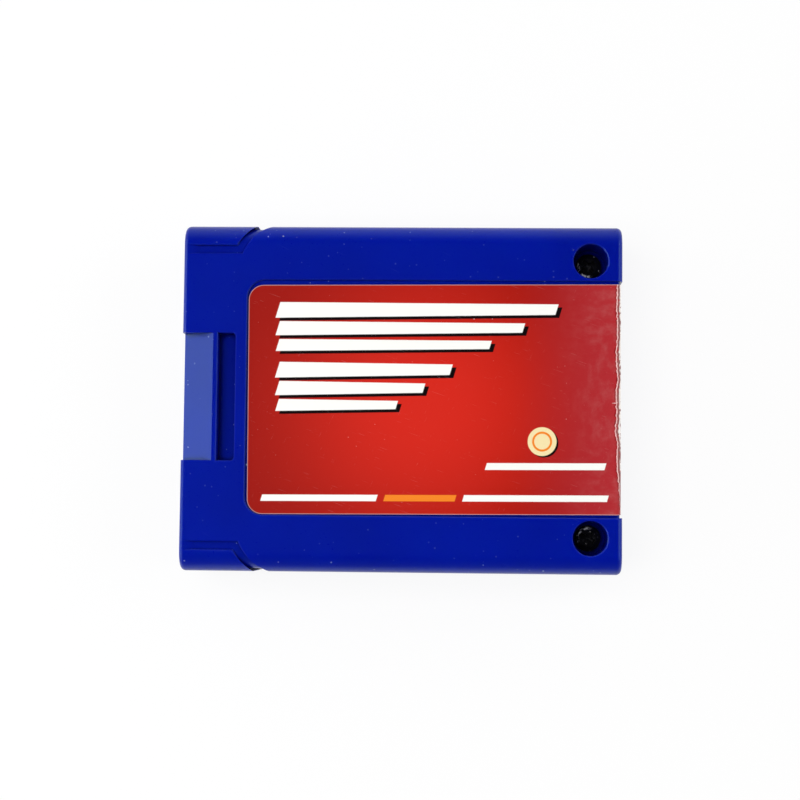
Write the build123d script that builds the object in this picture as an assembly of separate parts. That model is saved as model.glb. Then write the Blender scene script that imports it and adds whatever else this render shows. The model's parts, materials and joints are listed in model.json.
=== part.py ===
from build123d import *

import os
from math import sqrt

# Memory card that plugs into a game controller. Two moulded half shells hold a circuit board with a
# memory chip and a coin cell. Two screws close the outer end and two snap lugs the connector end.
# The origin is under the middle of the card, on the plane that it lies on. +X points to the outer
# end, +Y across the card and +Z out of the labelled face. Sizes are in millimetres.

# Case
case_length = 58.5
case_width = 46.3
case_height = 15.5
long_edge_round = 2.6
end_edge_round = 0.7
side_wall = 1.8
face_wall = 1.8
front_wall = 2.4
rear_wall = 1.8
cavity_round = 0.8
rim_break = 0.15
rim_angle = 45.0
seam_width = 0.2
seam_depth = 0.2
overcut = 1.0

# Lip of the lower shell, which stands in a rebate of the upper one
lip_height = 1.0
lip_thickness = 0.7
lip_clearance = 0.1

# Connector mouth
mouth_height = 7.0
mouth_clearance = 0.4
mouth_lead = 0.4

# Latch ramp and pocket on the labelled face
latch_width = 17.0
latch_wall = 1.2
ramp_length = 4.15
ramp_drop = 2.5
latch_land = 0.63
pocket_length = 2.35
pocket_depth = 2.4
pocket_corner = 0.5

# Grooves that cut off both corners at the connector end
groove_width = 1.05
groove_depth = 0.4
groove_start = 0.5
groove_run_in = 1.6
groove_side = 2.87
groove_bend_radius = 8.0
groove_bend_x = 14.7
groove_bend_y = 6.9

# Label and its recess, which fold over the outer end
label_start = 8.9
label_width = 30.5
label_thickness = 0.18
label_corner = 2.0
label_flap = 6.0
label_gap = 0.4
label_start_gap = 0.25
recess_depth = 0.35

# Case screws, with their wells and bosses
screw_end = 4.2
screw_side = 4.8
well_diameter = 4.6
boss_wall = 1.2
seat_floor = 1.25
head_diameter = 3.5
head_height = 1.4
head_bevel = 0.6
head_bevel_drop = 0.45
cross_width = 0.6
cross_span = 2.0
cross_depth = 0.9
upper_turn_angle = 35.0
lower_turn_angle = 62.0
shank_diameter = 2.2
shank_length = 6.5
shank_tip = 0.8
shank_clearance = 0.2
pilot_clearance = 0.03
pilot_spare = 0.4

# Circuit board
board_thickness = 1.2
board_setback = 4.6
board_clearance = 0.4
board_corner = 0.8
tongue_length = 9.0
tongue_clearance = 0.15
tongue_lead = 0.6
boss_clearance = 0.3

# Edge contacts
contact_pitch = 2.5
contact_width = 1.6
contact_length = 7.5
contact_thickness = 0.05
contact_setback = 0.4
contact_margin = 0.5

# Seats that hold the board
ledge_width = 1.2
ledge_length = 22.0
ledge_gap = 0.5
clamp_length = 5.0
clamp_clearance = 0.1
post_diameter = 4.4
post_wall = 0.9
post_x = 12.0
post_y = 2.6
pin_diameter = 2.0
pin_height = 1.2
pin_clearance = 0.1

# Snap lugs at the connector end
lug_start = 5.8
lug_length = 5.0
lug_thickness = 0.65
lug_clearance = 0.1
lug_height = 2.9
bead_radius = 0.35
bead_drop = 0.8

# Chips with a row of leads on both long sides. The span runs over the leads.
memory_length = 18.1
memory_width = 8.4
memory_height = 2.4
memory_span = 11.8
memory_leads = 28
logic_length = 8.7
logic_leads = 14
supervisor_length = 4.9
supervisor_leads = 8
small_chip_width = 3.9
small_chip_height = 1.5
small_chip_span = 6.0
lead_pitch = 1.27
lead_width = 0.42
lead_thickness = 0.18
lead_foot = 0.6
chip_standoff = 0.12
chip_draft = 6.0
chip_mark_diameter = 0.9
chip_mark_depth = 0.08

# Coin cell, its pad and its tabs
cell_diameter = 20.0
cell_height = 3.2
cell_cap_diameter = 17.4
cell_cap_step = 0.25
cell_edge_bevel = 0.4
cell_pad_size = 11.0
cell_pad_thickness = 0.8
tab_width = 4.0
tab_thickness = 0.2
tab_reach = 6.0
tab_stand_off = 1.2
tab_foot = 2.2
tab_bend = 0.3
solder_margin = 0.5
solder_height = 0.45
solder_bevel = 0.2

# Small parts on the board, in a row beside each small chip
part_gap = 0.9
passive_length = 2.0
passive_width = 1.25
passive_end = 0.4
capacitor_height = 0.9
resistor_height = 0.5
passive_count = 3
passive_pitch = 3.0
passive_side = 4.8
diode_length = 2.9
diode_width = 1.3
diode_height = 1.0
diode_span = 3.0
diode_pitch = 0.95

# Planes and lines that the pieces share
front_x = -case_length / 2
rear_x = case_length / 2
side_y = case_width / 2
mid_z = case_height / 2
cavity_front = front_x + front_wall
cavity_rear = rear_x - rear_wall
cavity_side = side_y - side_wall
roof_z = case_height - face_wall
floor_z = face_wall
ramp_end = front_x + ramp_length
pocket_start = ramp_end + latch_land
pocket_end = pocket_start + pocket_length
screw_x = rear_x - screw_end
screw_y = side_y - screw_side
seat_z = mid_z + seat_floor
boss_radius = well_diameter / 2 + boss_wall
board_front = front_x + board_setback
board_rear = cavity_rear - board_clearance
board_side = cavity_side - board_clearance
board_under = mid_z - board_thickness / 2
board_top = mid_z + board_thickness / 2
lug_face = cavity_side - lug_clearance - lug_thickness
tongue_side = lug_face - tongue_clearance
mouth_width = 2 * (tongue_side + mouth_clearance)
tongue_end = board_front + tongue_length
pin_x = rear_x - post_x
pin_y = board_side - post_y
lug_x = front_x + lug_start

# The memory chip and the cell share the board's free length in three equal gaps
contact_zone = contact_setback + contact_length
free_length = board_rear - board_front - contact_zone - memory_span - cell_diameter
board_gap = free_length / 3
memory_x = board_front + contact_zone + board_gap + memory_span / 2
cell_x = memory_x + memory_span / 2 + board_gap + cell_diameter / 2
side_chip_y = (memory_length / 2 + board_side) / 2
side_row_y = board_side - passive_side
capacitor_x = memory_x + logic_length / 2 + part_gap + passive_width / 2
diode_x = memory_x + supervisor_length / 2 + part_gap + diode_span / 2
resistor_x = diode_x + diode_span / 2 + part_gap + passive_width / 2


def block(x_range, y_range, z_range):
    size = [high - low for low, high in (x_range, y_range, z_range)]
    middle = [(high + low) / 2 for low, high in (x_range, y_range, z_range)]
    return Pos(*middle) * Box(*size)


def both_sides(shape):
    return shape + mirror(shape, Plane.XZ)


def bar(x_start, x_end, width, height, corner):
    # Rounded section at mid height, drawn out along the card
    plane = Plane(origin=(x_start, 0, mid_z), x_dir=(0, 1, 0), z_dir=(1, 0, 0))
    return extrude(plane * RectangleRounded(width, height, corner), x_end - x_start)


def envelope(inset):
    # Outer form of the closed card, or a form that lies evenly inside it
    length_wise = bar(
        front_x + inset,
        rear_x - inset,
        case_width - 2 * inset,
        case_height - 2 * inset,
        long_edge_round - inset,
    )
    ends = length_wise.faces().filter_by(Axis.X)
    return fillet(ends.edges(), end_edge_round - inset)


def from_above(sketch, z_start, z_end):
    return extrude(Plane.XY.offset(z_start) * sketch, z_end - z_start)


def rim_cut(sketch):
    # Slanted edge where an opening of this outline meets the labelled face
    plane = Plane.XY.offset(case_height - rim_break)
    return extrude(plane * sketch, rim_break + overcut, taper=-rim_angle)


def groove_outline():
    # Straight run that starts short of the connector end, then an arc out through the long side
    centre_x = front_x + groove_bend_x
    centre_y = side_y - groove_bend_y
    y_high = side_y - groove_side
    y_low = y_high - groove_width
    bend_start = centre_x - sqrt(groove_bend_radius**2 - (y_low - centre_y) ** 2)
    run_length = bend_start - front_x - groove_start
    run = Pos(bend_start - run_length / 2, (y_low + y_high) / 2) * Rectangle(run_length, groove_width)
    half = groove_width / 2
    ring = Circle(groove_bend_radius + half) - Circle(groove_bend_radius - half)
    reach = groove_bend_radius + groove_width
    window = Pos(centre_x - reach / 2, y_low + reach / 2) * Rectangle(reach, reach)
    return run + ((Pos(centre_x, centre_y) * ring) & window)


def groove_run_in_slope():
    # Slope on which the straight run comes down to its depth
    x_start = front_x + groove_start
    profile = Polyline(
        (x_start - overcut, case_height),
        (x_start, case_height),
        (x_start + groove_run_in, case_height - groove_depth),
        (x_start + groove_run_in, case_height - groove_depth - overcut),
        (x_start - overcut, case_height - groove_depth - overcut),
        close=True,
    )
    return extrude(Plane.XZ * make_face(profile), side_y, both=True)


def corner_grooves():
    outline = groove_outline()
    core = bar(
        front_x,
        rear_x,
        case_width - 2 * groove_depth,
        case_height - 2 * groove_depth,
        long_edge_round - groove_depth,
    )
    band = from_above(outline, -overcut, case_height + overcut) - core
    rim = rim_cut(outline)
    band += rim + mirror(rim, Plane.XY.offset(mid_z))
    slope = groove_run_in_slope()
    band -= slope + mirror(slope, Plane.XY.offset(mid_z))
    return both_sides(band)


def label_window(gap, start_gap):
    # Outline of the label from above, with its flap on the outer end, widened by the gaps
    x_low = front_x + label_start - start_gap
    x_high = rear_x + overcut + label_corner
    width = label_width + 2 * gap
    corner = label_corner + gap
    outline = Pos((x_low + x_high) / 2, 0) * RectangleRounded(x_high - x_low, width, corner)
    sheet = from_above(outline, case_height - end_edge_round, case_height + overcut)
    z_low = case_height - label_flap - gap
    flap_height = label_flap + gap + overcut + corner
    flap_plane = Plane(
        origin=(rear_x - end_edge_round, 0, z_low + flap_height / 2),
        x_dir=(0, 1, 0),
        z_dir=(1, 0, 0),
    )
    flap = extrude(flap_plane * RectangleRounded(width, flap_height, corner), end_edge_round + overcut)
    return outline, sheet + flap


def make_label():
    outline, window = label_window(0, 0)
    return window & (envelope(recess_depth - label_thickness) - envelope(recess_depth))


def latch_cuts():
    # Ramp that lifts the catch, and the pocket that it drops into
    slope = ramp_drop / ramp_length
    tip_z = case_height - ramp_drop - slope * overcut
    ramp_profile = Polyline(
        (front_x - overcut, tip_z),
        (ramp_end, case_height),
        (ramp_end, case_height + overcut),
        (front_x - overcut, case_height + overcut),
        close=True,
    )
    ramp = extrude(Plane.XZ * make_face(ramp_profile), latch_width / 2, both=True)
    pocket_middle = (pocket_start + pocket_end) / 2
    outline = Pos(pocket_middle, 0) * Rectangle(pocket_length, latch_width)
    inner_corners = outline.vertices().group_by(Axis.X)[-1]
    outline = fillet(inner_corners, pocket_corner)
    pocket = from_above(outline, case_height - pocket_depth, case_height + overcut)
    return ramp + pocket + rim_cut(outline)


def latch_housing():
    # Wall that carries the pocket inside the case
    return block(
        (front_x, pocket_end + latch_wall),
        (-latch_width / 2 - latch_wall, latch_width / 2 + latch_wall),
        (case_height - pocket_depth - latch_wall, case_height),
    )


def screw_cylinder(radius, z_start, z_end):
    return both_sides(from_above(Pos(screw_x, screw_y) * Circle(radius), z_start, z_end))


def corner_boss(radius, z_start, z_end):
    # Boss round each screw, which fills the corner of the case
    length = screw_end + radius
    width = screw_side + radius
    outline = Pos(rear_x - length / 2, side_y - width / 2) * Rectangle(length, width)
    inner_corner = min(outline.vertices(), key=lambda vertex: vertex.X + vertex.Y)
    outline = fillet(inner_corner, radius)
    return both_sides(from_above(outline, z_start, z_end))


def post_cylinder(radius, z_start, z_end):
    return both_sides(from_above(Pos(pin_x, pin_y) * Circle(radius), z_start, z_end))


def lip_ring(inner, outer, height):
    middle = (cavity_front + cavity_rear) / 2
    length = cavity_rear - cavity_front
    ring = Rectangle(length + 2 * outer, 2 * (cavity_side + outer))
    ring -= Rectangle(length + 2 * inner, 2 * (cavity_side + inner))
    return from_above(Pos(middle, 0) * ring, mid_z, mid_z + height)


def mouth_cut():
    half = mouth_height / 2
    tunnel = block(
        (front_x - overcut, cavity_front),
        (-mouth_width / 2, mouth_width / 2),
        (mid_z - half, mid_z + half),
    )
    plane = Plane(origin=(front_x, 0, mid_z), x_dir=(0, 1, 0), z_dir=(1, 0, 0))
    flare = Rectangle(mouth_width + 2 * mouth_lead, mouth_height + 2 * mouth_lead)
    return tunnel + extrude(plane * flare, mouth_lead, taper=rim_angle)


def bead(radius):
    # Round rib along the outer face of each snap lug
    z = mid_z + lug_height - bead_drop
    spare = radius - bead_radius
    plane = Plane(
        origin=(lug_x - spare, cavity_side - lug_clearance, z),
        x_dir=(0, 1, 0),
        z_dir=(1, 0, 0),
    )
    return both_sides(extrude(plane * Circle(radius), lug_length + 2 * spare))


def case_cavity():
    width = 2 * cavity_side
    return bar(cavity_front, cavity_rear, width, roof_z - floor_z, cavity_round)


def shut_line():
    # Fine step round the case, where the two shells meet
    slab = block(
        (front_x - overcut, rear_x + overcut),
        (-side_y - overcut, side_y + overcut),
        (mid_z, mid_z + seam_width),
    )
    return slab - envelope(seam_depth)


def make_upper_shell(body):
    skin = split(body, Plane.XY.offset(mid_z), keep=Keep.TOP)
    skin -= shut_line()
    outline, window = label_window(label_gap, label_start_gap)
    skin -= window - envelope(recess_depth)
    skin -= rim_cut(outline)
    skin -= latch_cuts()
    bosses = corner_boss(boss_radius, mid_z, case_height)
    clamp_z = board_top + clamp_clearance
    clamps = block(
        (tongue_end + ledge_gap, tongue_end + ledge_gap + clamp_length),
        (cavity_side - ledge_width, cavity_side),
        (clamp_z, case_height),
    )
    kept = latch_housing() + bosses + both_sides(clamps)
    kept += post_cylinder(post_diameter / 2, clamp_z, case_height)
    skin -= case_cavity() - kept
    rebate = lip_ring(0, lip_thickness + lip_clearance, lip_height + lip_clearance)
    skin -= rebate - bosses
    skin -= mouth_cut()
    skin -= post_cylinder(post_diameter / 2 - post_wall, clamp_z, roof_z)
    skin -= bead(bead_radius + lug_clearance)
    skin -= screw_cylinder(shank_diameter / 2 + shank_clearance, mid_z, seat_z)
    skin -= screw_cylinder(well_diameter / 2, seat_z, case_height)
    skin -= both_sides(rim_cut(Pos(screw_x, screw_y) * Circle(well_diameter / 2)))
    return skin


def make_lower_shell(body):
    skin = split(body, Plane.XY.offset(mid_z), keep=Keep.BOTTOM)
    ledges = block(
        (tongue_end + ledge_gap, tongue_end + ledge_gap + ledge_length),
        (cavity_side - ledge_width, cavity_side),
        (0, board_under),
    )
    lug_root = block(
        (lug_x, lug_x + lug_length),
        (lug_face, cavity_side),
        (0, mid_z),
    )
    kept = corner_boss(boss_radius, 0, mid_z) + both_sides(ledges) + both_sides(lug_root)
    kept += post_cylinder(post_diameter / 2, 0, board_under)
    skin -= case_cavity() - kept
    lip = lip_ring(lip_clearance, lip_thickness, lip_height)
    lip -= corner_boss(boss_radius + lip_clearance, mid_z, case_height)
    lug = block(
        (lug_x, lug_x + lug_length),
        (lug_face, cavity_side - lug_clearance),
        (mid_z, mid_z + lug_height),
    )
    skin += lip
    skin += both_sides(lug)
    skin += bead(bead_radius)
    skin += post_cylinder(pin_diameter / 2, board_under, board_top + pin_height)
    skin -= mouth_cut()
    pilot_end = seat_z - shank_length - pilot_spare
    skin -= screw_cylinder(shank_diameter / 2 + pilot_clearance, pilot_end, mid_z)
    return skin


def make_screw():
    # Pan head with a cross recess, seated at the bottom of the well
    head_radius = head_diameter / 2
    shank_radius = shank_diameter / 2
    profile = Polyline(
        (0, -shank_length),
        (shank_radius - shank_tip, -shank_length),
        (shank_radius, shank_tip - shank_length),
        (shank_radius, 0),
        (head_radius, 0),
        (head_radius, head_height - head_bevel_drop),
        (head_radius - head_bevel, head_height),
        (0, head_height),
        close=True,
    )
    blank = revolve(Plane.XZ * make_face(profile), Axis.Z)
    plane = Plane.XY.offset(head_height - cross_depth)
    arm = Rectangle(cross_span, cross_width)
    return blank - extrude(plane * (arm + Rot(0, 0, 90) * arm), cross_depth)


def make_board():
    outline = Pos((tongue_end + board_rear) / 2, 0) * Rectangle(board_rear - tongue_end, 2 * board_side)
    outline = fillet(outline.vertices().group_by(Axis.X)[0], board_corner)
    tongue = Pos(board_front + tongue_length / 2, 0) * Rectangle(tongue_length, 2 * tongue_side)
    tongue = chamfer(tongue.vertices().group_by(Axis.X)[0], tongue_lead)
    outline += tongue
    notch_x = screw_x - boss_radius - boss_clearance
    notch_y = screw_y - boss_radius - boss_clearance
    notch_size = boss_radius + boss_clearance + screw_end + screw_side
    notch = Pos(notch_x + notch_size / 2, notch_y + notch_size / 2) * RectangleRounded(
        notch_size, notch_size, board_corner
    )
    outline -= notch
    outline -= mirror(notch, Plane.XZ)
    hole = Pos(pin_x, pin_y) * Circle(pin_diameter / 2 + pin_clearance)
    outline -= hole
    outline -= mirror(hole, Plane.XZ)
    return from_above(outline, board_under, board_top)


def make_contacts(z_start):
    span = 2 * (tongue_side - contact_margin) - contact_width
    count = int(span // contact_pitch) + 1
    pad = Box(contact_length, contact_width, contact_thickness)
    x = board_front + contact_setback + contact_length / 2
    row = GridLocations(contact_pitch, contact_pitch, 1, count)
    return [Pos(x, 0, z_start + contact_thickness / 2) * place * pad for place in row]


def gull_wing(span, shoulder_z):
    # One lead, from the side of the body at the origin outwards along +X and down to the board
    half = lead_thickness / 2
    bend = span - lead_foot
    profile = Polyline(
        (0, shoulder_z + half),
        (bend, shoulder_z + half),
        (bend + half, lead_thickness),
        (span, lead_thickness),
        (span, 0),
        (bend - half, 0),
        (bend - lead_thickness, shoulder_z - half),
        (0, shoulder_z - half),
        close=True,
    )
    return extrude(Plane.XZ * make_face(profile), lead_width / 2, both=True)


def make_chip(length, width, height, span, lead_count):
    # Moulded body along Y, drafted from its waist up and down, with a row of leads on each long side
    waist_z = chip_standoff + height / 2
    waist = Plane.XY.offset(waist_z) * Rectangle(width, length)
    upper = extrude(waist, height / 2, taper=chip_draft)
    lower = extrude(waist, -height / 2, taper=chip_draft)
    mark = Pos(width / 4, length / 2 - width / 4) * Circle(chip_mark_diameter / 2)
    top_z = chip_standoff + height
    case = upper + lower - from_above(mark, top_z - chip_mark_depth, top_z)
    root = block(
        (width / 2 - lead_thickness, width / 2),
        (-lead_width / 2, lead_width / 2),
        (waist_z - lead_thickness / 2, waist_z + lead_thickness / 2),
    )
    lead = Pos(width / 2, 0, 0) * gull_wing((span - width) / 2, waist_z) + root - case
    places = GridLocations(lead_pitch, lead_pitch, 1, int(lead_count // 2))
    row = [place * lead for place in places]
    return case, row + [Rot(0, 0, 180) * item for item in row]


def place_all(shapes, location):
    return [location * shape for shape in shapes]


def make_diode():
    waist_z = chip_standoff + diode_height / 2
    case = Pos(0, 0, waist_z) * Box(diode_width, diode_length, diode_height)
    lead = Pos(diode_width / 2, 0, 0) * gull_wing((diode_span - diode_width) / 2, waist_z)
    pair = [Pos(0, side * diode_pitch, 0) * lead for side in (-1, 1)]
    return case, pair + [Rot(0, 0, 180) * lead]


def make_passives(height, first_x, y):
    # A row of small chips along X, each with a tinned cap on both ends
    body_length = passive_length - 2 * passive_end
    bodies = []
    terminals = []
    for index in range(passive_count):
        x = first_x + index * passive_pitch
        bodies.append(Pos(x, y, board_top + height / 2) * Box(passive_width, body_length, height))
        for side in (-1, 1):
            end_y = y + side * (body_length + passive_end) / 2
            terminals.append(Pos(x, end_y, board_top + height / 2) * Box(passive_width, passive_end, height))
    return bodies, terminals


def make_cell(z_start):
    radius = cell_diameter / 2
    cap = cell_cap_diameter / 2
    can_z = z_start + cell_cap_step
    can = from_above(Circle(radius), can_z, z_start + cell_height)
    can = chamfer(can.edges(), cell_edge_bevel)
    return Pos(cell_x, 0) * (can + from_above(Circle(cap), z_start, can_z + cell_edge_bevel))


def tab_strip(strip_z, side):
    # Strip that lies on the cell, leaves it sideways, and turns down to a foot on the board
    edge_y = cell_diameter / 2 + tab_stand_off
    start_y = cell_diameter / 2 - tab_reach
    line = FilletPolyline(
        (start_y, strip_z),
        (edge_y, strip_z),
        (edge_y, board_top),
        (edge_y + tab_foot, board_top),
        radius=tab_bend,
    )
    plane = Plane(origin=(cell_x, 0, 0), x_dir=(0, 1, 0), z_dir=(1, 0, 0))
    outline = make_face(offset(line, tab_thickness, side=Side.LEFT))
    strip = extrude(plane * outline, tab_width / 2, both=True)
    return strip if side > 0 else mirror(strip, Plane.XZ)


def solder_mound(strip, side):
    foot_y = cell_diameter / 2 + tab_stand_off + tab_thickness + tab_foot / 2
    mound = Pos(cell_x, side * foot_y, board_top + solder_height / 2) * Box(
        tab_width + 2 * solder_margin, tab_foot, solder_height
    )
    mound = chamfer(mound.edges().group_by(Axis.Z)[-1], solder_bevel)
    return mound - strip


def write(name, shape):
    solids = list(shape) if isinstance(shape, (list, tuple)) else [shape]
    group = [solid for item in solids for solid in item.solids()]
    result = group[0] if len(group) == 1 else Compound(children=group)
    export_step(result, f"parts/{name}.step")


def main():
    os.makedirs("parts", exist_ok=True)
    body = envelope(0) - corner_grooves()
    write("upper_shell", make_upper_shell(body))
    write("lower_shell", make_lower_shell(body))
    write("label", make_label())
    screw = make_screw()
    upper_screw = Pos(screw_x, screw_y, seat_z) * Rot(0, 0, upper_turn_angle) * screw
    lower_screw = Pos(screw_x, -screw_y, seat_z) * Rot(0, 0, lower_turn_angle) * screw
    write("case_screws", [upper_screw, lower_screw])

    write("circuit_board", make_board())
    write("upper_contacts", make_contacts(board_top))
    write("lower_contacts", make_contacts(board_under - contact_thickness))

    memory, leads = make_chip(memory_length, memory_width, memory_height, memory_span, memory_leads)
    place = Pos(memory_x, 0, board_top)
    write("memory_chip", place * memory)
    write("memory_chip_leads", place_all(leads, place))
    small = (small_chip_width, small_chip_height, small_chip_span)
    logic, leads = make_chip(logic_length, *small, logic_leads)
    place = Pos(memory_x, side_chip_y, board_top) * Rot(0, 0, 90)
    write("logic_chip", place * logic)
    write("logic_chip_leads", place_all(leads, place))
    supervisor, leads = make_chip(supervisor_length, *small, supervisor_leads)
    place = Pos(memory_x, -side_chip_y, board_top) * Rot(0, 0, 90)
    write("supervisor_chip", place * supervisor)
    write("supervisor_chip_leads", place_all(leads, place))
    diode, leads = make_diode()
    place = Pos(diode_x, -side_row_y, board_top)
    write("diode", place * diode)
    write("diode_leads", place_all(leads, place))

    bodies, terminals = make_passives(capacitor_height, capacitor_x, side_row_y)
    write("capacitors", bodies)
    write("capacitor_terminals", terminals)
    bodies, terminals = make_passives(resistor_height, resistor_x, -side_row_y)
    write("resistors", bodies)
    write("resistor_terminals", terminals)

    pad_z = board_top + cell_pad_thickness
    cell_z = pad_z + tab_thickness
    pad = Rectangle(cell_pad_size, cell_pad_size)
    write("cell_pad", Pos(cell_x, 0) * from_above(pad, board_top, pad_z))
    write("coin_cell", make_cell(cell_z))
    positive = tab_strip(cell_z + cell_height, 1)
    negative = tab_strip(pad_z, -1)
    write("positive_tab", positive)
    write("negative_tab", negative)
    write("solder_joints", [solder_mound(positive, 1), solder_mound(negative, -1)])


main()
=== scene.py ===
import json
import math

import bpy
import numpy as np
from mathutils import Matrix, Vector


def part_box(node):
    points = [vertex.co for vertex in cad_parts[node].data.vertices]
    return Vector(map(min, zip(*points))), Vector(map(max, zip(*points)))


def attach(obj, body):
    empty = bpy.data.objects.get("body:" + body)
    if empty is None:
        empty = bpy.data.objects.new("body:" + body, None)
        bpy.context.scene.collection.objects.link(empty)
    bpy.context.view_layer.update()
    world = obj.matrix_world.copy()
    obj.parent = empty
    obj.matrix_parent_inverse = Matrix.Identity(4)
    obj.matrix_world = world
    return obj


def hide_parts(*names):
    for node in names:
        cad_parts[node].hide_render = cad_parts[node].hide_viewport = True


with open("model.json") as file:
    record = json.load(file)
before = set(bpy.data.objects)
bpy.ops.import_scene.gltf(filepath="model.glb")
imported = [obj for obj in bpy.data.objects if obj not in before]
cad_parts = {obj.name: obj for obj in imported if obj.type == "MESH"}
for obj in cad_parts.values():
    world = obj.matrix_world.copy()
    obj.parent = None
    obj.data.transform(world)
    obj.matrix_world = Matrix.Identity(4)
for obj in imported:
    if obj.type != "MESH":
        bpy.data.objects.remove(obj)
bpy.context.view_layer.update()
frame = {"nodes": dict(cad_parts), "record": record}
print("card frame loaded with", len(frame["nodes"]), "nodes")


# ways to write shader trees

def addNode(tree, kind, inputs=(), **settings):
    # inputs are plain values, or sockets of other nodes to link from
    node = tree.nodes.new(kind)
    for name, value in settings.items():
        setattr(node, name, value)
    for name, value in dict(inputs).items():
        if isinstance(value, bpy.types.NodeSocket):
            tree.links.new(value, node.inputs[name])
        else:
            node.inputs[name].default_value = value
    return node


def calc(tree, operation, *values, clamp=False):
    node = addNode(tree, "ShaderNodeMath", dict(enumerate(values)), operation=operation, use_clamp=clamp)
    return node.outputs[0]


def softStep(tree, value, low, high):
    # 0 at low and 1 at high, eased at both ends; low may lie above high
    inputs = {"Value": value, "From Min": low, "From Max": high}
    node = addNode(tree, "ShaderNodeMapRange", inputs, interpolation_type="SMOOTHSTEP")
    return node.outputs["Result"]


def layColour(tree, mask, under, over):
    node = addNode(tree, "ShaderNodeMix", {0: mask, 6: under, 7: over}, data_type="RGBA")
    return node.outputs[2]


def noiseValue(tree, place, scale, detail=2.0, roughness=0.5):
    inputs = {"Vector": place, "Scale": scale, "Detail": detail, "Roughness": roughness}
    return addNode(tree, "ShaderNodeTexNoise", inputs).outputs[0]


def millimetres(tree):
    place = addNode(tree, "ShaderNodeTexCoord").outputs["Object"]
    return addNode(tree, "ShaderNodeVectorMath", {0: place, "Scale": 1000.0}, operation="SCALE").outputs[0]


def split(tree, vector):
    return addNode(tree, "ShaderNodeSeparateXYZ", {0: vector}).outputs


def bumpNormal(tree, height, distance):
    inputs = {"Height": height, "Distance": distance, "Strength": 1.0}
    return addNode(tree, "ShaderNodeBump", inputs).outputs["Normal"]


def newGroup(name, inputs, outputs):
    # an input is a name with its first value, or with None for a place
    tree = bpy.data.node_groups.new(name, "ShaderNodeTree")
    for label, value in inputs:
        kind = "NodeSocketVector" if value is None else "NodeSocketFloat"
        socket = tree.interface.new_socket(label, in_out="INPUT", socket_type=kind)
        if value is not None:
            socket.default_value = value
    for label in outputs:
        tree.interface.new_socket(label, in_out="OUTPUT", socket_type="NodeSocketFloat")
    given = addNode(tree, "NodeGroupInput").outputs
    result = addNode(tree, "NodeGroupOutput").inputs
    return tree, given, result


def useGroup(tree, group, inputs):
    return addNode(tree, "ShaderNodeGroup", inputs, node_tree=group).outputs[0]


def newMaterial(name, **values):
    # values go straight to the shader's sockets, with _ for the spaces in their names
    material = bpy.data.materials.new(name)
    material.use_nodes = True
    tree = material.node_tree
    surface = tree.nodes["Principled BSDF"]
    for label, value in values.items():
        surface.inputs[label.replace("_", " ")].default_value = value
    return material, tree, surface


def tone(red, green, blue):
    # linear colour of a tone given in screen values from 0 to 255
    screen = np.array([red, green, blue]) / 255
    linear = np.where(screen <= 0.04045, screen / 12.92, ((screen + 0.055) / 1.055) ** 2.4)
    return (*linear.tolist(), 1.0)


# effects that several finishes share

def makeFineGrain():
    # two layers of noise, for moulded, cast and sprayed surfaces
    tree, given, result = newGroup("fineGrain", [("Place", None), ("Size", 0.3)], ["Height"])
    frequency = calc(tree, "DIVIDE", 1.0, given["Size"])
    broad = noiseValue(tree, given["Place"], frequency, 2.0, 0.6)
    sharp = noiseValue(tree, given["Place"], calc(tree, "MULTIPLY", frequency, 3.3), 0.0)
    total = calc(tree, "MULTIPLY_ADD", sharp, 0.4, calc(tree, "MULTIPLY", broad, 0.6))
    tree.links.new(total, result["Height"])
    return tree


def makeDustSpecks():
    # one speck in a share of the cells, small and ragged, most of them faint
    inputs = [("Place", None), ("Spacing", 3.0), ("Size", 0.08), ("Share", 0.3)]
    tree, given, result = newGroup("dustSpecks", inputs, ["Mask"])
    frequency = calc(tree, "DIVIDE", 1.0, given["Spacing"])
    cells = addNode(tree, "ShaderNodeTexVoronoi", {"Vector": given["Place"], "Scale": frequency})
    reach = calc(tree, "MULTIPLY", cells.outputs["Distance"], given["Spacing"])
    ragged = calc(tree, "MULTIPLY_ADD", noiseValue(tree, given["Place"], 9.0), 0.12, reach)
    chance = split(tree, cells.outputs["Color"])
    size = calc(tree, "MULTIPLY", given["Size"], calc(tree, "ADD", chance["Y"], 0.5))
    edge = calc(tree, "ADD", size, 0.06)
    spot = softStep(tree, ragged, calc(tree, "ADD", edge, 0.03), edge)
    shown = calc(tree, "LESS_THAN", chance["X"], given["Share"])
    strength = calc(tree, "MULTIPLY_ADD", calc(tree, "MULTIPLY", chance["Z"], chance["Z"]), 0.85, 0.15)
    tree.links.new(calc(tree, "MULTIPLY", calc(tree, "MULTIPLY", spot, shown), strength), result["Mask"])
    return tree


def makeHairScratches():
    # noise drawn out along one direction, of which only the crests show
    inputs = [("Place", None), ("Turn", 0.4), ("Length", 9.0), ("Width", 0.07), ("Level", 0.7)]
    tree, given, result = newGroup("hairScratches", inputs, ["Mask"])
    spin = {"Vector": given["Place"], "Angle": given["Turn"]}
    turned = addNode(tree, "ShaderNodeVectorRotate", spin, rotation_type="Z_AXIS")
    part = split(tree, turned.outputs[0])
    long = calc(tree, "DIVIDE", part["X"], given["Length"])
    cross = calc(tree, "DIVIDE", part["Y"], given["Width"])
    drawn = addNode(tree, "ShaderNodeCombineXYZ", {0: long, 1: cross, 2: part["Z"]}).outputs[0]
    crest = noiseValue(tree, drawn, 1.0, 1.0)
    mask = softStep(tree, crest, given["Level"], calc(tree, "ADD", given["Level"], 0.06))
    tree.links.new(mask, result["Mask"])
    return tree


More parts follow.
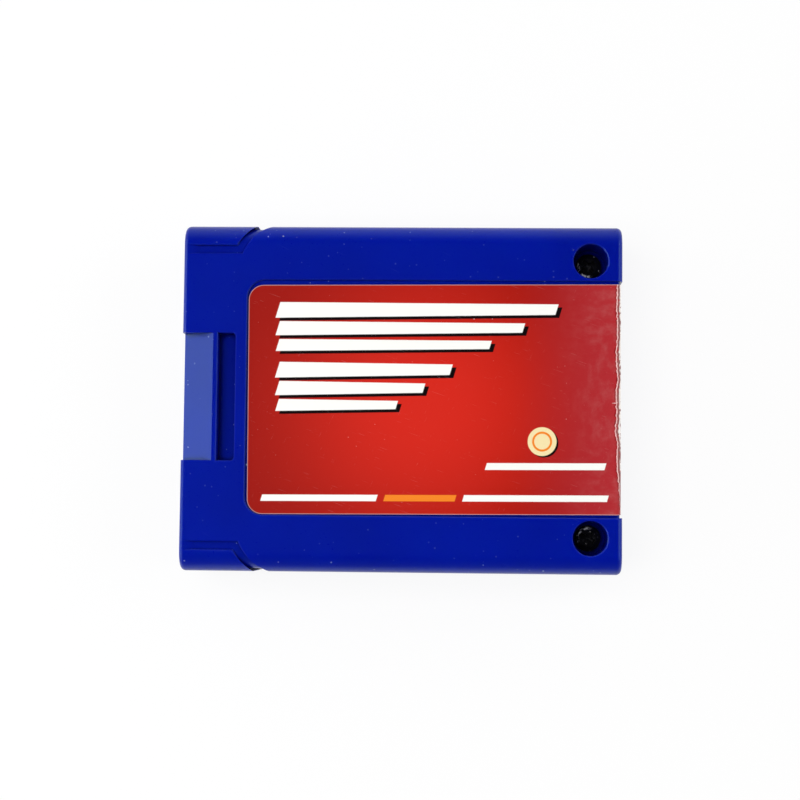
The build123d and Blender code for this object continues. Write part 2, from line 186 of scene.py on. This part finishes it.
def makeSlantBar():
    # bar between two leaning ends, whose height changes evenly from its start to its tip
    inputs = [("Along", 0.0), ("Across", 0.0), ("Start", 0.0), ("End", 10.0), ("Middle", 0.0)]
    inputs += [("Half", 0.5), ("Tip", 0.5), ("Lean", 0.0), ("Soft", 0.05)]
    tree, given, result = newGroup("slantBar", inputs, ["Mask"])
    rise = calc(tree, "SUBTRACT", given["Across"], given["Middle"])
    run = calc(tree, "SUBTRACT", given["Along"], calc(tree, "MULTIPLY", given["Lean"], rise))
    gone = calc(tree, "SUBTRACT", run, given["Start"])
    share = calc(tree, "DIVIDE", gone, calc(tree, "SUBTRACT", given["End"], given["Start"]), clamp=True)
    taper = calc(tree, "SUBTRACT", given["Tip"], given["Half"])
    half = calc(tree, "MULTIPLY_ADD", share, taper, given["Half"])
    soft = given["Soft"]
    outer = calc(tree, "ADD", half, soft)
    inner = calc(tree, "SUBTRACT", half, soft)
    inside = softStep(tree, calc(tree, "ABSOLUTE", rise), outer, inner)
    before = calc(tree, "MULTIPLY", soft, -1.0)
    begun = softStep(tree, gone, before, soft)
    left = calc(tree, "SUBTRACT", given["End"], run)
    ended = softStep(tree, left, before, soft)
    mask = calc(tree, "MULTIPLY", inside, calc(tree, "MULTIPLY", begun, ended))
    tree.links.new(mask, result["Mask"])
    return tree


def makeRingBand():
    # band round a centre; with radius 0 it is a disc
    inputs = [("Along", 0.0), ("Across", 0.0), ("Centre Along", 0.0), ("Centre Across", 0.0)]
    inputs += [("Radius", 1.0), ("Half", 0.2), ("Soft", 0.05)]
    tree, given, result = newGroup("ringBand", inputs, ["Mask"])
    run = calc(tree, "SUBTRACT", given["Along"], given["Centre Along"])
    rise = calc(tree, "SUBTRACT", given["Across"], given["Centre Across"])
    square = calc(tree, "MULTIPLY_ADD", run, run, calc(tree, "MULTIPLY", rise, rise))
    off = calc(tree, "ABSOLUTE", calc(tree, "SUBTRACT", calc(tree, "SQRT", square), given["Radius"]))
    outer = calc(tree, "ADD", given["Half"], given["Soft"])
    inner = calc(tree, "SUBTRACT", given["Half"], given["Soft"])
    tree.links.new(softStep(tree, off, outer, inner), result["Mask"])
    return tree


fineGrain = makeFineGrain()
dustSpecks = makeDustSpecks()
hairScratches = makeHairScratches()
slantBar = makeSlantBar()
ringBand = makeRingBand()
print("shared effects ready")


# blue case

casePlastic = {
    "blue": tone(0, 20, 154),
    "deepBlue": tone(0, 17, 146),
    "dust": tone(150, 165, 205),
    # painted shade for the grooves, corners and label gap
    "paintedShade": tone(0, 3, 92),
    "paintedShadeShare": 0.85,
    "paintedShadeReach": 0.0009,     # m
    "grainSize": 0.28,        # mm
    "grainDepth": 0.000004,   # m
    "specks": {"Spacing": 0.9, "Size": 0.075, "Share": 0.4},
    "rubs": {"Turn": 0.5, "Length": 5.0, "Width": 0.06, "Level": 0.78},
}


def makeCasePlastic():
    look = casePlastic
    material, tree, surface = newMaterial(
        "bluePlastic", Specular_IOR_Level=0.35, Specular_Tint=(0.55, 0.95, 1.0, 1.0),
        Subsurface_Weight=0.6, Subsurface_Radius=(0.05, 0.12, 1.0), Subsurface_Scale=0.0005)
    place = millimetres(tree)
    drift = noiseValue(tree, place, 0.06, 2.0)
    body = layColour(tree, softStep(tree, drift, 0.35, 0.7), look["deepBlue"], look["blue"])

    # painted shade in the grooves and corners, darkest where little light gets in, with dust and rub marks over
    # it
    near = {"Distance": look["paintedShadeReach"]}
    openness = addNode(tree, "ShaderNodeAmbientOcclusion", near, samples=8).outputs["AO"]
    cornerShade = calc(tree, "MULTIPLY", softStep(tree, openness, 0.95, 0.45), look["paintedShadeShare"])
    body = layColour(tree, cornerShade, body, look["paintedShade"])
    dust = useGroup(tree, dustSpecks, {"Place": place, **look["specks"]})
    rub = useGroup(tree, hairScratches, {"Place": place, **look["rubs"]})
    marks = calc(tree, "MAXIMUM", calc(tree, "MULTIPLY", dust, 0.75), calc(tree, "MULTIPLY", rub, 0.1))
    tree.links.new(layColour(tree, marks, body, look["dust"]), surface.inputs["Base Color"])
    grain = useGroup(tree, fineGrain, {"Place": place, "Size": look["grainSize"]})
    uneven = calc(tree, "MULTIPLY_ADD", grain, 0.14, 0.23)
    tree.links.new(calc(tree, "MULTIPLY_ADD", dust, 0.3, uneven), surface.inputs["Roughness"])
    tree.links.new(bumpNormal(tree, grain, look["grainDepth"]), surface.inputs["Normal"])
    return material


# label: a paper sheet in the recess, folded over the outer end

labelSheet = {
    "foldRadius": 0.53,   # mm, outer side of the fold
    "corner": 2.0,
    "thickness": 0.18,
    "turn": 0.35,         # degrees that the label was stuck on askew
    "drop": -0.14,        # mm that it sits off the middle
    "flatStep": 0.5,
    "foldStep": 0.06,
    "columns": 150,
    # where the print is cracked along the fold: place across, then distance past the start of the fold
    "crack": [(-15.3, 0.48), (-13.4, 0.44), (-10.7, 0.22), (-9.4, 0.09), (-7.0, -0.01), (-6.1, 0.07),
              (-5.1, -0.1), (-4.3, -0.28), (-3.6, -0.18), (-2.7, -0.07), (-2.0, -0.09), (-0.3, -0.12),
              (1.3, -0.1), (2.5, 0.12), (4.0, -0.05), (6.6, -0.09), (8.0, 0.02), (10.4, 0.03),
              (12.0, -0.12), (13.3, -0.05), (15.3, 0.07)],
}


def softNoise(x, y, seed, waves=9):
    # sum of a few sine waves in seeded directions, from about -1 to 1
    chance = np.random.default_rng(seed)
    turn = chance.uniform(0, 2 * np.pi, waves)
    phase = chance.uniform(0, 2 * np.pi, waves)
    pitch = chance.uniform(0.6, 1.6, waves)

    def wave(t, f, p):
        return np.sin(2 * np.pi * p * (np.cos(t) * x + np.sin(t) * y) + f)

    return sum(map(wave, turn, phase, pitch)) / np.sqrt(waves)


def easeBetween(value, low, high):
    # 0 below low and 1 above high; between them three times the share's square less twice its cube
    share = np.clip((value - low) / (high - low), 0, 1)
    return share * share * (3 - 2 * share)


def makeLabelSheet(material):
    # A rounded rectangle in its own flat coordinates, turned a little, then led along a path that runs
    # flat to the fold, round a quarter circle and down the end of the case. Wear lifts or sinks it along
    # the path's normal. The underside is the same path one paper thickness lower.
    cut = labelSheet
    low, high = (np.array(corner) * 1000 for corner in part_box("label"))
    radius, corner = cut["foldRadius"], cut["corner"]
    flat = high[0] - radius - low[0]
    arc = radius * np.pi / 2
    total = flat + arc + (high[2] - radius - low[2])
    halfWidth = high[1]
    bend = np.linspace(0, np.pi / 2, 15)
    rounded = corner * (1 - np.cos(bend))
    along = np.unique(np.round(np.concatenate([
        rounded,
        np.arange(corner, flat - 0.8, cut["flatStep"]),
        np.arange(flat - 0.8, flat + arc + 0.5, cut["foldStep"]),
        np.arange(flat + arc + 0.5, total - corner, cut["flatStep"]),
        total - rounded,
    ]), 6))[:, None]
    side = np.linspace(-1, 1, cut["columns"])[None, :]
    fromEnd = np.clip(np.minimum(along, total - along), 0, corner)
    width = halfWidth - corner + np.sqrt(corner ** 2 - (corner - fromEnd) ** 2)
    a, b = np.broadcast_arrays(along, side * width)

    # distance inwards from the cut edge
    qx = np.abs(a - total / 2) - (total / 2 - corner)
    qy = np.abs(b) - (halfWidth - corner)
    inset = corner - np.hypot(np.maximum(qx, 0), np.maximum(qy, 0)) - np.minimum(np.maximum(qx, qy), 0)

    turn = math.radians(cut["turn"])
    run = total / 2 + (a - total / 2) * math.cos(turn) - b * math.sin(turn)
    y = (a - total / 2) * math.sin(turn) + b * math.cos(turn) + cut["drop"]
    theta = np.clip((run - flat) / radius, 0, np.pi / 2)
    x = low[0] + np.minimum(run, flat) + radius * np.sin(theta)
    z = high[2] - radius + radius * np.cos(theta) - np.maximum(run - flat - arc, 0)
    normal = np.stack([np.sin(theta), np.zeros_like(theta), np.cos(theta)], -1)

    # the crack wanders along the fold; past it the print is rubbed off and the paper frays
    keys = np.array(cut["crack"])
    crack = np.interp(y, keys[:, 0], keys[:, 1]) + 0.05 * softNoise(y / 0.9, y * 0, 3)
    past = run - flat - crack
    worn = easeBetween(past, 0.0, 0.1) * (1 - easeBetween(past, 1.0, 1.7))
    fray = np.exp(-(past / 0.5) ** 2) * softNoise(a / 0.5, b / 0.7, 5)
    lift = 0.006 * softNoise(a / 9, b / 9, 11) - 0.03 * worn + 0.016 * fray
    top = np.stack([x, y, z], -1) + normal * lift[..., None]
    under = np.stack([x, y, z], -1) - normal * cut["thickness"]

    rows, columns = a.shape
    count = rows * columns
    index = np.arange(count).reshape(rows, columns)
    quads = np.stack([index[:-1, :-1], index[1:, :-1], index[1:, 1:], index[:-1, 1:]], -1).reshape(-1, 4)
    ring = np.concatenate([index[:-1, 0], index[-1, :-1], index[:0:-1, -1], index[0, :0:-1]])
    following = np.roll(ring, -1)
    walls = np.stack([ring, ring + count, following + count, following], -1)
    faces = np.concatenate([quads, quads[:, ::-1] + count, walls])
    points = np.concatenate([top.reshape(-1, 3), under.reshape(-1, 3)]) / 1000

    mesh = bpy.data.meshes.new("label_sheet")
    mesh.from_pydata(points.tolist(), [], faces.tolist())
    own = np.stack([a, b, inset], -1).reshape(-1, 3)
    place = mesh.attributes.new("sheetPlace", "FLOAT_VECTOR", "POINT")
    place.data.foreach_set("vector", np.concatenate([own, own]).astype(np.float32).ravel())
    wear = mesh.attributes.new("foldWear", "FLOAT", "POINT")
    wear.data.foreach_set("value", np.tile(past.ravel(), 2).astype(np.float32))
    bare = mesh.attributes.new("bareSide", "FLOAT", "POINT")
    bare.data.foreach_set("value", np.repeat([0.0, 1.0], count).astype(np.float32))
    mesh.shade_smooth()
    mesh.set_sharp_from_angle(angle=math.radians(50))
    mesh.materials.append(material)
    sheet = bpy.data.objects.new("label_sheet", mesh)
    bpy.context.scene.collection.objects.link(sheet)
    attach(sheet, "root")
    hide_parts("label")
    print("label sheet made,", len(faces), "faces")


labelPrint = {
    "red": tone(206, 36, 23),
    "rimRed": tone(150, 18, 8),
    "endRed": tone(172, 43, 49),
    "white": tone(244, 245, 240),
    "shadow": tone(16, 8, 10),
    "orange": tone(238, 132, 36),
    "cream": tone(240, 222, 170),
    "paper": tone(252, 244, 238),
    "crackPink": tone(240, 190, 188),
    # painted shadow colour beside the crack
    "crackShade": tone(122, 16, 20),
    "rubbed": tone(142, 98, 94),
    "glow": (24.0, -1.0),     # brightest place of the red field, mm from the left edge and the middle
    "lean": 0.3,
    # stripes: start, end, middle, half height at the start and at the tip
    "stripes": [(3.9, 41.0, 11.9, 1.05, 0.7), (3.9, 36.6, 9.45, 0.95, 0.62), (3.9, 32.2, 7.2, 0.8, 0.55),
                (3.9, 27.0, 3.9, 1.05, 0.7), (3.9, 23.4, 1.45, 0.95, 0.62), (3.9, 19.8, -0.8, 0.8, 0.55)],
    "shadowShift": (0.5, -0.4),
    "disc": (39.0, -5.6, 1.9),
    "discShadow": (0.25, -0.2),
    "discRing": (0.62, 0.14),   # share of the disc's radius, and half the band
    "rules": [(31.6, 47.3, -8.9, 0.45), (1.9, 17.2, -13.1, 0.42), (28.6, 47.6, -13.1, 0.42)],
    "orangeRule": (18.2, 27.6, -13.1, 0.42),
    # one short tear beside the crack: start, end, middle, half height at its start and tip, lean
    "nick": (48.25, 48.9, -0.5, 0.02, 0.07, 1.9),
    "scratches": [{"Turn": 0.35, "Length": 7.0, "Width": 0.08, "Level": 0.73},
                  {"Turn": -1.1, "Length": 5.0, "Width": 0.07, "Level": 0.75}],
    "specks": {"Spacing": 1.2, "Size": 0.05, "Share": 0.2},
}


def makeLabelPrint():
    look = labelPrint
    material, tree, surface = newMaterial("labelPrint", Specular_IOR_Level=0.12)
    read = addNode(tree, "ShaderNodeAttribute", attribute_name="sheetPlace")
    wear = addNode(tree, "ShaderNodeAttribute", attribute_name="foldWear").outputs["Fac"]
    bare = addNode(tree, "ShaderNodeAttribute", attribute_name="bareSide").outputs["Fac"]
    place = read.outputs["Vector"]
    along, across, inset = split(tree, place)

    # red field, brightest in the middle
    run = calc(tree, "MULTIPLY", calc(tree, "SUBTRACT", along, look["glow"][0]), 0.9)
    rise = calc(tree, "MULTIPLY", calc(tree, "SUBTRACT", across, look["glow"][1]), 0.95)
    reach = calc(tree, "SQRT", calc(tree, "MULTIPLY_ADD", run, run, calc(tree, "MULTIPLY", rise, rise)))
    colour = layColour(tree, softStep(tree, reach, 2.0, 25.0), look["red"], look["rimRed"])
    colour = layColour(tree, softStep(tree, along, 34.0, 50.0), colour, look["endRed"])

    def bar(start, end, middle, half, tip, lean):
        inputs = {"Along": along, "Across": across, "Start": start, "End": end, "Middle": middle}
        return useGroup(tree, slantBar, {**inputs, "Half": half, "Tip": tip, "Lean": lean})

    def ring(x, y, radius, half):
        inputs = {"Along": along, "Across": across, "Centre Along": x, "Centre Across": y}
        return useGroup(tree, ringBand, {**inputs, "Radius": radius, "Half": half})

    def union(masks):
        total = masks[0]
        for mask in masks[1:]:
            total = calc(tree, "MAXIMUM", total, mask)
        return total

    shiftX, shiftY = look["shadowShift"]
    lean = look["lean"]
    under = union([bar(s + shiftX, e + shiftX, m + shiftY, h, t, lean) for s, e, m, h, t in look["stripes"]])
    over = union([bar(s, e, m, h, t, lean) for s, e, m, h, t in look["stripes"]])
    colour = layColour(tree, under, colour, look["shadow"])
    colour = layColour(tree, over, colour, look["white"])
    discX, discY, discRadius = look["disc"]
    awayX, awayY = look["discShadow"]
    ringShare, ringHalf = look["discRing"]
    colour = layColour(tree, ring(discX + awayX, discY + awayY, 0.0, discRadius), colour, look["shadow"])
    colour = layColour(tree, ring(discX, discY, 0.0, discRadius), colour, look["cream"])
    colour = layColour(tree, ring(discX, discY, discRadius * ringShare, ringHalf), colour, look["orange"])
    rules = union([bar(s, e, m, h, h, lean) for s, e, m, h in look["rules"]])
    colour = layColour(tree, rules, colour, look["white"])
    start, end, middle, half = look["orangeRule"]
    colour = layColour(tree, bar(start, end, middle, half, half, lean), colour, look["orange"])

    # the print is cracked white along the fold, and rubbed pale past it
    fine = noiseValue(tree, place, 2.2, 3.0)
    fleck = noiseValue(tree, place, 7.0, 1.0)
    reachPast = calc(tree, "MULTIPLY_ADD", calc(tree, "SUBTRACT", fleck, 0.5), 0.1, wear)
    width = calc(tree, "MULTIPLY_ADD", fine, 0.16, -0.03)
    line = softStep(tree, calc(tree, "ABSOLUTE", reachPast), calc(tree, "ADD", width, 0.04), width)
    beyond = calc(tree, "MULTIPLY", softStep(tree, reachPast, 0.0, 0.1), softStep(tree, wear, 2.2, 0.9))
    rubbed = calc(tree, "MULTIPLY", beyond, softStep(tree, fine, 0.25, 0.55))
    colour = layColour(tree, calc(tree, "MULTIPLY", rubbed, 0.85), colour, look["rubbed"])
    # painted shadow: a dark band along the inner side of the crack
    shade = calc(tree, "MULTIPLY", softStep(tree, wear, -0.4, -0.12), softStep(tree, wear, 0.05, -0.05))
    shade = calc(tree, "MULTIPLY", shade, softStep(tree, fine, 0.3, 0.7))
    colour = layColour(tree, shade, colour, look["crackShade"])
    fluff = calc(tree, "MULTIPLY", softStep(tree, wear, 0.3, 0.5), softStep(tree, wear, 1.6, 0.9))
    clump = noiseValue(tree, place, 0.8, 3.0, 0.65)
    tuft = calc(tree, "MULTIPLY_ADD", softStep(tree, across, -5.0, -1.0), 0.09, clump)
    fluff = calc(tree, "MULTIPLY", fluff, softStep(tree, tuft, 0.46, 0.54))
    colour = layColour(tree, calc(tree, "MAXIMUM", line, bar(*look["nick"])), colour, look["crackPink"])
    colour = layColour(tree, fluff, colour, look["paper"])
    torn = calc(tree, "MAXIMUM", line, fluff)

    # scuffs, hair scratches, dust, and the paper that shows at the cut edge
    cloud = softStep(tree, noiseValue(tree, place, 0.5, 5.0, 0.6), 0.4, 0.8)
    scuff = calc(tree, "MULTIPLY", softStep(tree, along, 40.0, 49.0), cloud)
    hair = union([useGroup(tree, hairScratches, {"Place": place, **values}) for values in look["scratches"]])
    dust = useGroup(tree, dustSpecks, {"Place": place, **look["specks"]})
    shares = ((scuff, 0.045), (hair, 0.07), (dust, 0.5))
    marks = union([calc(tree, "MULTIPLY", mask, share) for mask, share in shares])
    colour = layColour(tree, marks, colour, look["paper"])
    cutEdge = calc(tree, "MULTIPLY", softStep(tree, inset, 0.13, 0.03), 0.3)
    colour = layColour(tree, cutEdge, colour, look["paper"])
    colour = layColour(tree, softStep(tree, bare, 0.1, 0.3), colour, look["paper"])
    tree.links.new(colour, surface.inputs["Base Color"])
    matt = calc(tree, "MAXIMUM", calc(tree, "MAXIMUM", torn, rubbed), marks)
    tree.links.new(calc(tree, "MULTIPLY_ADD", matt, 0.4, 0.28), surface.inputs["Roughness"])
    fibre = useGroup(tree, fineGrain, {"Place": place, "Size": 0.35})
    relief = calc(tree, "MULTIPLY_ADD", line, 0.6, fibre)
    tree.links.new(bumpNormal(tree, relief, 0.000006), surface.inputs["Normal"])
    return material


# black screws

screwSteel = {
    "black": tone(26, 26, 29),
    "rubbed": tone(88, 88, 92),
    # pale specks of grit that also serve as painted highlights
    "dust": tone(190, 190, 194),
    # painted highlight colour for the glints
    "paintedGlint": tone(250, 250, 252),
    "grainSize": 0.22,
    "gritAndHighlightSpecks": {"Spacing": 0.6, "Size": 0.06, "Share": 0.5},
    "bevel": 0.77,              # share of the head's radius at which its bevel gets painted glints
    "toward": (-0.75, -0.65),   # side of that ring, along the card and from its middle outwards
}


def makeScrewSteel():
    # blackened metal, rubbed brighter in places, with pale specks that are partly grit and partly painted
    # highlights, and painted glints on the heads
    look = screwSteel
    material, tree, surface = newMaterial("blackSteel")
    place = millimetres(tree)
    grain = useGroup(tree, fineGrain, {"Place": place, "Size": look["grainSize"]})
    worn = softStep(tree, noiseValue(tree, place, 1.6, 4.0, 0.65), 0.55, 0.75)
    gritAndHighlightSpecks = useGroup(tree, dustSpecks, {"Place": place, **look["gritAndHighlightSpecks"]})
    colour = layColour(tree, worn, look["black"], look["rubbed"])
    # pale specks: grit, and painted highlights in the dark wells
    colour = layColour(tree, gritAndHighlightSpecks, colour, look["dust"])

    # painted glints: pale patches on one side of each head's bevel, painted where highlights would fall
    low, high = (np.array(corner) * 1000 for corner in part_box("case_screws"))
    radius = (high[0] - low[0]) / 2
    headX, headY = low[0] + radius, high[1] - radius
    x, y, _ = split(tree, place)
    side = calc(tree, "ABSOLUTE", y)
    ring = {"Along": x, "Across": side, "Centre Along": headX, "Centre Across": headY}
    bevel = useGroup(tree, ringBand, {**ring, "Radius": radius * look["bevel"], "Half": 0.14, "Soft": 0.1})
    run = calc(tree, "MULTIPLY", calc(tree, "SUBTRACT", x, headX), look["toward"][0])
    rise = calc(tree, "MULTIPLY", calc(tree, "SUBTRACT", side, headY), look["toward"][1])
    facing = softStep(tree, calc(tree, "ADD", run, rise), 0.3, 1.0)
    patch = softStep(tree, noiseValue(tree, place, 2.6, 2.0), 0.44, 0.6)
    paintedGlint = calc(tree, "MULTIPLY", bevel, calc(tree, "MULTIPLY", facing, patch))
    tree.links.new(layColour(tree, paintedGlint, colour, look["paintedGlint"]), surface.inputs["Base Color"])
    dull = calc(tree, "MAXIMUM", gritAndHighlightSpecks, paintedGlint)
    tree.links.new(calc(tree, "MULTIPLY_ADD", dull, -0.7, 0.7), surface.inputs["Metallic"])
    tree.links.new(calc(tree, "MULTIPLY_ADD", grain, 0.3, 0.22), surface.inputs["Roughness"])
    tree.links.new(bumpNormal(tree, grain, 0.000008), surface.inputs["Normal"])
    return material


# board, contacts and the parts on the board

boardMask = {
    "green": tone(18, 92, 52),
    "overCopper": tone(34, 122, 70),
    "laminate": tone(146, 148, 96),   # bare at the cut edges
    "pitch": 2.5,                     # mm
    "halfTrace": 0.35,
}


def makeBoardMask():
    # the mask is lighter over copper tracks, which follow the pitch of the contacts
    look = boardMask
    material, tree, surface = newMaterial("boardMask", Specular_IOR_Level=0.5)
    place = millimetres(tree)
    y = split(tree, place)["Y"]
    step = calc(tree, "PINGPONG", y, look["pitch"] / 2)
    sway = calc(tree, "MULTIPLY_ADD", noiseValue(tree, place, 0.12, 0.0), 0.6, step)
    track = softStep(tree, sway, look["halfTrace"] + 0.36, look["halfTrace"] + 0.26)
    facing = addNode(tree, "ShaderNodeTexCoord").outputs["Normal"]
    cut = softStep(tree, calc(tree, "ABSOLUTE", split(tree, facing)["Z"]), 0.6, 0.4)
    colour = layColour(tree, track, look["green"], look["overCopper"])
    weave = useGroup(tree, fineGrain, {"Place": place, "Size": 0.5})
    fibre = layColour(tree, calc(tree, "MULTIPLY", weave, 0.3), look["laminate"], look["green"])
    tree.links.new(layColour(tree, cut, colour, fibre), surface.inputs["Base Color"])
    relief = calc(tree, "MULTIPLY_ADD", track, 0.8, weave)
    tree.links.new(calc(tree, "MULTIPLY_ADD", weave, 0.2, 0.22), surface.inputs["Roughness"])
    tree.links.new(bumpNormal(tree, relief, 0.00001), surface.inputs["Normal"])
    return material


plainMetals = {
    # name, colour, rubbed colour, roughness, turn, length and width of the wipe marks, grain size, relief in m
    "gold_plate": ("goldPlate", tone(232, 184, 92), tone(206, 156, 78),
                   0.26, 0.0, 3.0, 0.06, 0.4, 0.000003),
    "tinned_leads": ("tinnedLeads", tone(196, 196, 194), tone(166, 166, 168),
                     0.38, 1.57, 0.8, 0.05, 0.25, 0.000004),
    "cell_steel": ("cellSteel", tone(205, 205, 203), tone(178, 178, 180),
                   0.3, 0.3, 6.0, 0.05, 0.6, 0.000003),
    "solder": ("solderMetal", tone(190, 190, 190), tone(158, 160, 164),
               0.34, 0.8, 0.9, 0.2, 0.7, 0.00002),
}


def makeMetal(name, colour, wornColour, roughness, turn, length, width, grainSize, depth):
    # drawn or plated metal with wipe marks along one direction
    material, tree, surface = newMaterial(name, Metallic=1.0)
    place = millimetres(tree)
    wipe = {"Place": place, "Turn": turn, "Length": length, "Width": width, "Level": 0.52}
    marks = useGroup(tree, hairScratches, wipe)
    grain = useGroup(tree, fineGrain, {"Place": place, "Size": grainSize})
    mix = calc(tree, "MULTIPLY", calc(tree, "ADD", marks, grain), 0.5)
    tree.links.new(layColour(tree, mix, colour, wornColour), surface.inputs["Base Color"])
    tree.links.new(calc(tree, "MULTIPLY_ADD", mix, 0.25, roughness - 0.08), surface.inputs["Roughness"])
    tree.links.new(bumpNormal(tree, mix, depth), surface.inputs["Normal"])
    return material


mouldings = {
    # name, colour, paler colour, roughness, grain size, relief in m
    "chip_plastic": ("chipPlastic", tone(27, 27, 29), tone(44, 44, 46), 0.58, 0.18, 0.000008),
    "foam": ("padFoam", tone(214, 212, 204), tone(236, 235, 229), 0.85, 0.45, 0.00006),
    "capacitor_ceramic": ("capacitorCeramic", tone(168, 140, 104), tone(188, 162, 126), 0.5, 0.3, 0.000006),
    "resistor_ceramic": ("resistorCeramic", tone(28, 30, 36), tone(46, 48, 54), 0.45, 0.25, 0.000006),
}


def makeMoulded(name, colour, paleColour, roughness, grainSize, depth):
    # cast, foamed or fired bodies: grain in colour, gloss and relief
    material, tree, surface = newMaterial(name, Specular_IOR_Level=0.45)
    place = millimetres(tree)
    grain = useGroup(tree, fineGrain, {"Place": place, "Size": grainSize})
    dust = useGroup(tree, dustSpecks, {"Place": place, "Spacing": 0.8, "Size": 0.04, "Share": 0.3})
    mix = calc(tree, "MULTIPLY_ADD", softStep(tree, grain, 0.4, 0.75), 0.7, calc(tree, "MULTIPLY", dust, 0.3))
    tree.links.new(layColour(tree, mix, colour, paleColour), surface.inputs["Base Color"])
    tree.links.new(calc(tree, "MULTIPLY_ADD", grain, 0.25, roughness - 0.1), surface.inputs["Roughness"])
    tree.links.new(bumpNormal(tree, grain, depth), surface.inputs["Normal"])
    return material


def dressCard():
    labelMaterial = makeLabelPrint()
    finishes = {
        "blue_plastic": makeCasePlastic(),
        "label_print": labelMaterial,
        "black_steel": makeScrewSteel(),
        "board_mask": makeBoardMask(),
    }
    finishes.update({slot: makeMetal(*values) for slot, values in plainMetals.items()})
    finishes.update({slot: makeMoulded(*values) for slot, values in mouldings.items()})
    for part in frame["record"]["subparts"]:
        node = frame["nodes"][part["node"]]
        for place in range(len(node.data.materials)):
            node.data.materials[place] = finishes[part["material_slot"]]
    makeLabelSheet(labelMaterial)


# floor, light and camera

studio = {
    "floorHalf": 3.0,         # m
    "floorWhite": (0.93, 0.93, 0.93, 1.0),
    "floorGlow": 0.88,        # share of plain white that the camera sees in the floor
    "horizon": 0.62,          # level of the tent along the horizon, where each direction adds its own gain
    "endGain": 0.18,
    "leftGain": 0.1,
    "backGain": 0.4,
    # softboxes: place, size along and up, watts, and whether the card mirrors it
    "softboxes": {
        "topSoftbox": ((-0.12, 0.0, 0.5), 0.3, 0.3, 1.75, False),
        "leftSoftbox": ((-0.33, -0.03, 0.125), 0.45, 0.13, 0.55, True),
        "rightSoftbox": ((0.45, 0.05, 0.36), 0.5, 0.3, 0.9, True),
    },
}


def makeFloor():
    # one flat square that runs far past the picture
    size = studio["floorHalf"]
    corners = [(-size, -size, 0), (size, -size, 0), (size, size, 0), (-size, size, 0)]
    mesh = bpy.data.meshes.new("floor")
    mesh.from_pydata(corners, [], [(0, 1, 2, 3)])
    floor = bpy.data.objects.new("floor", mesh)
    bpy.context.scene.collection.objects.link(floor)
    white = studio["floorWhite"]
    material, tree, surface = newMaterial("floorWhite", Base_Color=white, Roughness=0.9, Specular_IOR_Level=0.0)
    ray = addNode(tree, "ShaderNodeLightPath").outputs
    mirrored = calc(tree, "MAXIMUM", ray["Is Glossy Ray"], ray["Is Transmission Ray"])
    seen = calc(tree, "MAXIMUM", ray["Is Camera Ray"], mirrored)
    glow = addNode(tree, "ShaderNodeEmission", {"Color": (1, 1, 1, 1), "Strength": 1.0})
    mix = addNode(tree, "ShaderNodeMixShader", {0: calc(tree, "MULTIPLY", seen, studio["floorGlow"])})
    tree.links.new(surface.outputs[0], mix.inputs[1])
    tree.links.new(glow.outputs[0], mix.inputs[2])
    tree.links.new(mix.outputs[0], tree.nodes["Material Output"].inputs["Surface"])
    mesh.materials.append(material)


def makeLight():
    # a light tent that is bright near the horizon and dark overhead, and softboxes
    world = bpy.data.worlds.new("lightTent")
    bpy.context.scene.world = world
    world.use_nodes = True
    tree = world.node_tree
    toward = split(tree, addNode(tree, "ShaderNodeTexCoord").outputs["Generated"])
    ends = calc(tree, "MULTIPLY_ADD", toward["X"], studio["endGain"], studio["leftGain"])
    around = calc(tree, "MULTIPLY_ADD", toward["X"], ends, studio["horizon"])
    around = calc(tree, "MULTIPLY_ADD", toward["Y"], studio["backGain"], around)
    level = calc(tree, "MULTIPLY", softStep(tree, toward["Z"], 1.0, 0.1), around)
    tent = tree.nodes["Background"]
    tent.inputs["Color"].default_value = (1, 1, 1, 1)
    tree.links.new(level, tent.inputs["Strength"])
    for name, (place, wide, high, watts, mirrored) in studio["softboxes"].items():
        light = bpy.data.lights.new(name, "AREA")
        light.shape = "RECTANGLE"
        light.size, light.size_y, light.energy = wide, high, watts
        box = bpy.data.objects.new(name, light)
        bpy.context.scene.collection.objects.link(box)
        box.location = place
        aim = np.array([0, 0, 0.01]) - np.array(place)
        flat = math.hypot(aim[0], aim[1])
        box.rotation_euler = (math.atan2(flat, -aim[2]), 0, math.atan2(aim[1], aim[0]) - math.pi / 2)
        box.visible_camera = False
        box.visible_glossy = mirrored
    print("light tent and", len(studio["softboxes"]), "softboxes set")


cameraSet = {
    "place": (0.00853, -0.01678, 0.2455),
    "turn": (0.07176, 0.03683, 0.01017),   # radians
    "lens": 78.45,                         # mm on a 36 mm wide picture
}


def makeCamera():
    data = bpy.data.cameras.new("photoCamera")
    data.sensor_width = 36.0
    data.sensor_fit = "HORIZONTAL"
    data.lens = cameraSet["lens"]
    data.clip_start = 0.01
    camera = bpy.data.objects.new("photoCamera", data)
    bpy.context.scene.collection.objects.link(camera)
    camera.location = cameraSet["place"]
    camera.rotation_euler = cameraSet["turn"]
    bpy.context.scene.camera = camera


dressCard()
makeFloor()
makeLight()
makeCamera()
bpy.context.scene.view_settings.view_transform = "Standard"

print("scene ready")
